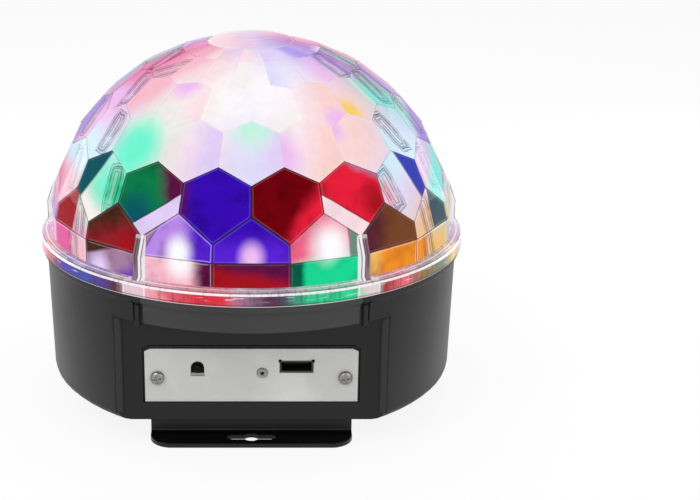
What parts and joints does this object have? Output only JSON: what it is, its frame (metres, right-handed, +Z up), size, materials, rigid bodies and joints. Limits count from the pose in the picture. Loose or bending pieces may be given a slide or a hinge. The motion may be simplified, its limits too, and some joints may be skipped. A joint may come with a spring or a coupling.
{
  "type": "led disco ball light",
  "caption": "Dome-shaped table or ceiling party light: a faceted clear dome over coloured lamps and a turning inner lens dome, on a round black housing with a folded steel bracket.",
  "frame": {"origin": "on the surface that the light stands on, under the axis of the dome, midway between the bracket's two flanges", "axes": "+Z up along the dome's axis, -Y out of the flat front with the control panel, +X to the right seen from the front"},
  "size_m": [0.2034, 0.2034, 0.1755],
  "materials": {
    "housing_black": "black moulded plastic, fine satin texture",
    "bracket_black": "black satin paint on folded steel sheet",
    "dome_clear": "clear faceted acrylic, lit from inside",
    "lens_clear": "clear tinted acrylic",
    "panel_silver": "light silver-grey painted sheet",
    "screw_steel": "zinc-plated",
    "bright_steel": "bright plated",
    "dark_plastic": "black gloss",
    "white_plastic": "milky white",
    "board_green": "solder mask",
    "lamp_board_white": "white solder mask on aluminium",
    "reflector": "bright metallised plastic",
    "aluminium": "plain extruded",
    "transformer_tape": "yellow winding tape",
    "capacitor_sleeve": "shrunk sleeve",
    "pin_brass": "plated pin",
    "magnet_grey": "plated ferrite",
    "cone_paper": "black paper cone",
    "lamp_red": "lit red lamp",
    "lamp_green": "lit green lamp",
    "lamp_blue": "lit blue lamp",
    "lamp_white": "lit white lamp",
    "lamp_violet": "lit violet lamp",
    "lamp_amber": "lit amber lamp"
  },
  "bodies": {
    "base": {"base_housing": "housing_black", "clear_dome": "dome_clear", "mounting_bracket": "bracket_black", "bracket_screw_1": "screw_steel", "bracket_screw_2": "screw_steel", "bracket_screw_3": "screw_steel", "bracket_screw_4": "screw_steel", "control_panel": "panel_silver", "panel_screw_left": "screw_steel", "panel_screw_right": "screw_steel", "ir_receiver": "dark_plastic", "usb_shell": "bright_steel", "usb_tongue": "dark_plastic", "status_indicator": "white_plastic", "decoder_board": "board_green", "decoder_screw_left": "screw_steel", "decoder_screw_right": "screw_steel", "driver_board": "board_green", "driver_screw_left": "screw_steel", "driver_screw_right": "screw_steel", "transformer": "transformer_tape", "filter_capacitor": "capacitor_sleeve", "power_inlet": "dark_plastic", "inlet_pin_left": "pin_brass", "inlet_pin_right": "pin_brass", "lamp_deck": "reflector", "deck_screw_1": "screw_steel", "deck_screw_2": "screw_steel", "deck_screw_3": "screw_steel", "deck_screw_4": "screw_steel", "heat_sink_screw_1": "screw_steel", "heat_sink_screw_2": "screw_steel", "heat_sink_screw_3": "screw_steel", "led_board": "lamp_board_white", "heat_sink": "aluminium", "led_red": "lamp_red", "led_green": "lamp_green", "led_blue": "lamp_blue", "led_white": "lamp_white", "led_violet": "lamp_violet", "led_amber": "lamp_amber", "led_lens_red": "lens_clear", "led_lens_green": "lens_clear", "led_lens_blue": "lens_clear", "led_lens_white": "lens_clear", "led_lens_violet": "lens_clear", "led_lens_amber": "lens_clear", "gear_motor": "bright_steel", "motor_screw_left": "screw_steel", "motor_screw_right": "screw_steel", "speaker_basket": "bracket_black", "speaker_magnet": "magnet_grey", "speaker_screw_front": "screw_steel", "speaker_screw_rear": "screw_steel"},
    "light_rotor": {"rotor_shaft": "bright_steel", "rotor_hub": "dark_plastic", "rotor_lens": "lens_clear", "rotor_screw": "screw_steel"},
    "cone": {"speaker_cone": "cone_paper"}
  },
  "joints": [
    {"name": "rotor_spin", "type": "hinge", "parent": "base", "child": "light_rotor", "pos_m": [0, 0, 0.077], "axis": [0, 0, 1], "continuous": true},
    {"name": "cone_travel", "type": "slide", "parent": "base", "child": "cone", "axis": [0, 0, 1], "range_m": [-0.0008, 0.0008], "stiffness_N_per_m": 800}
  ]
}
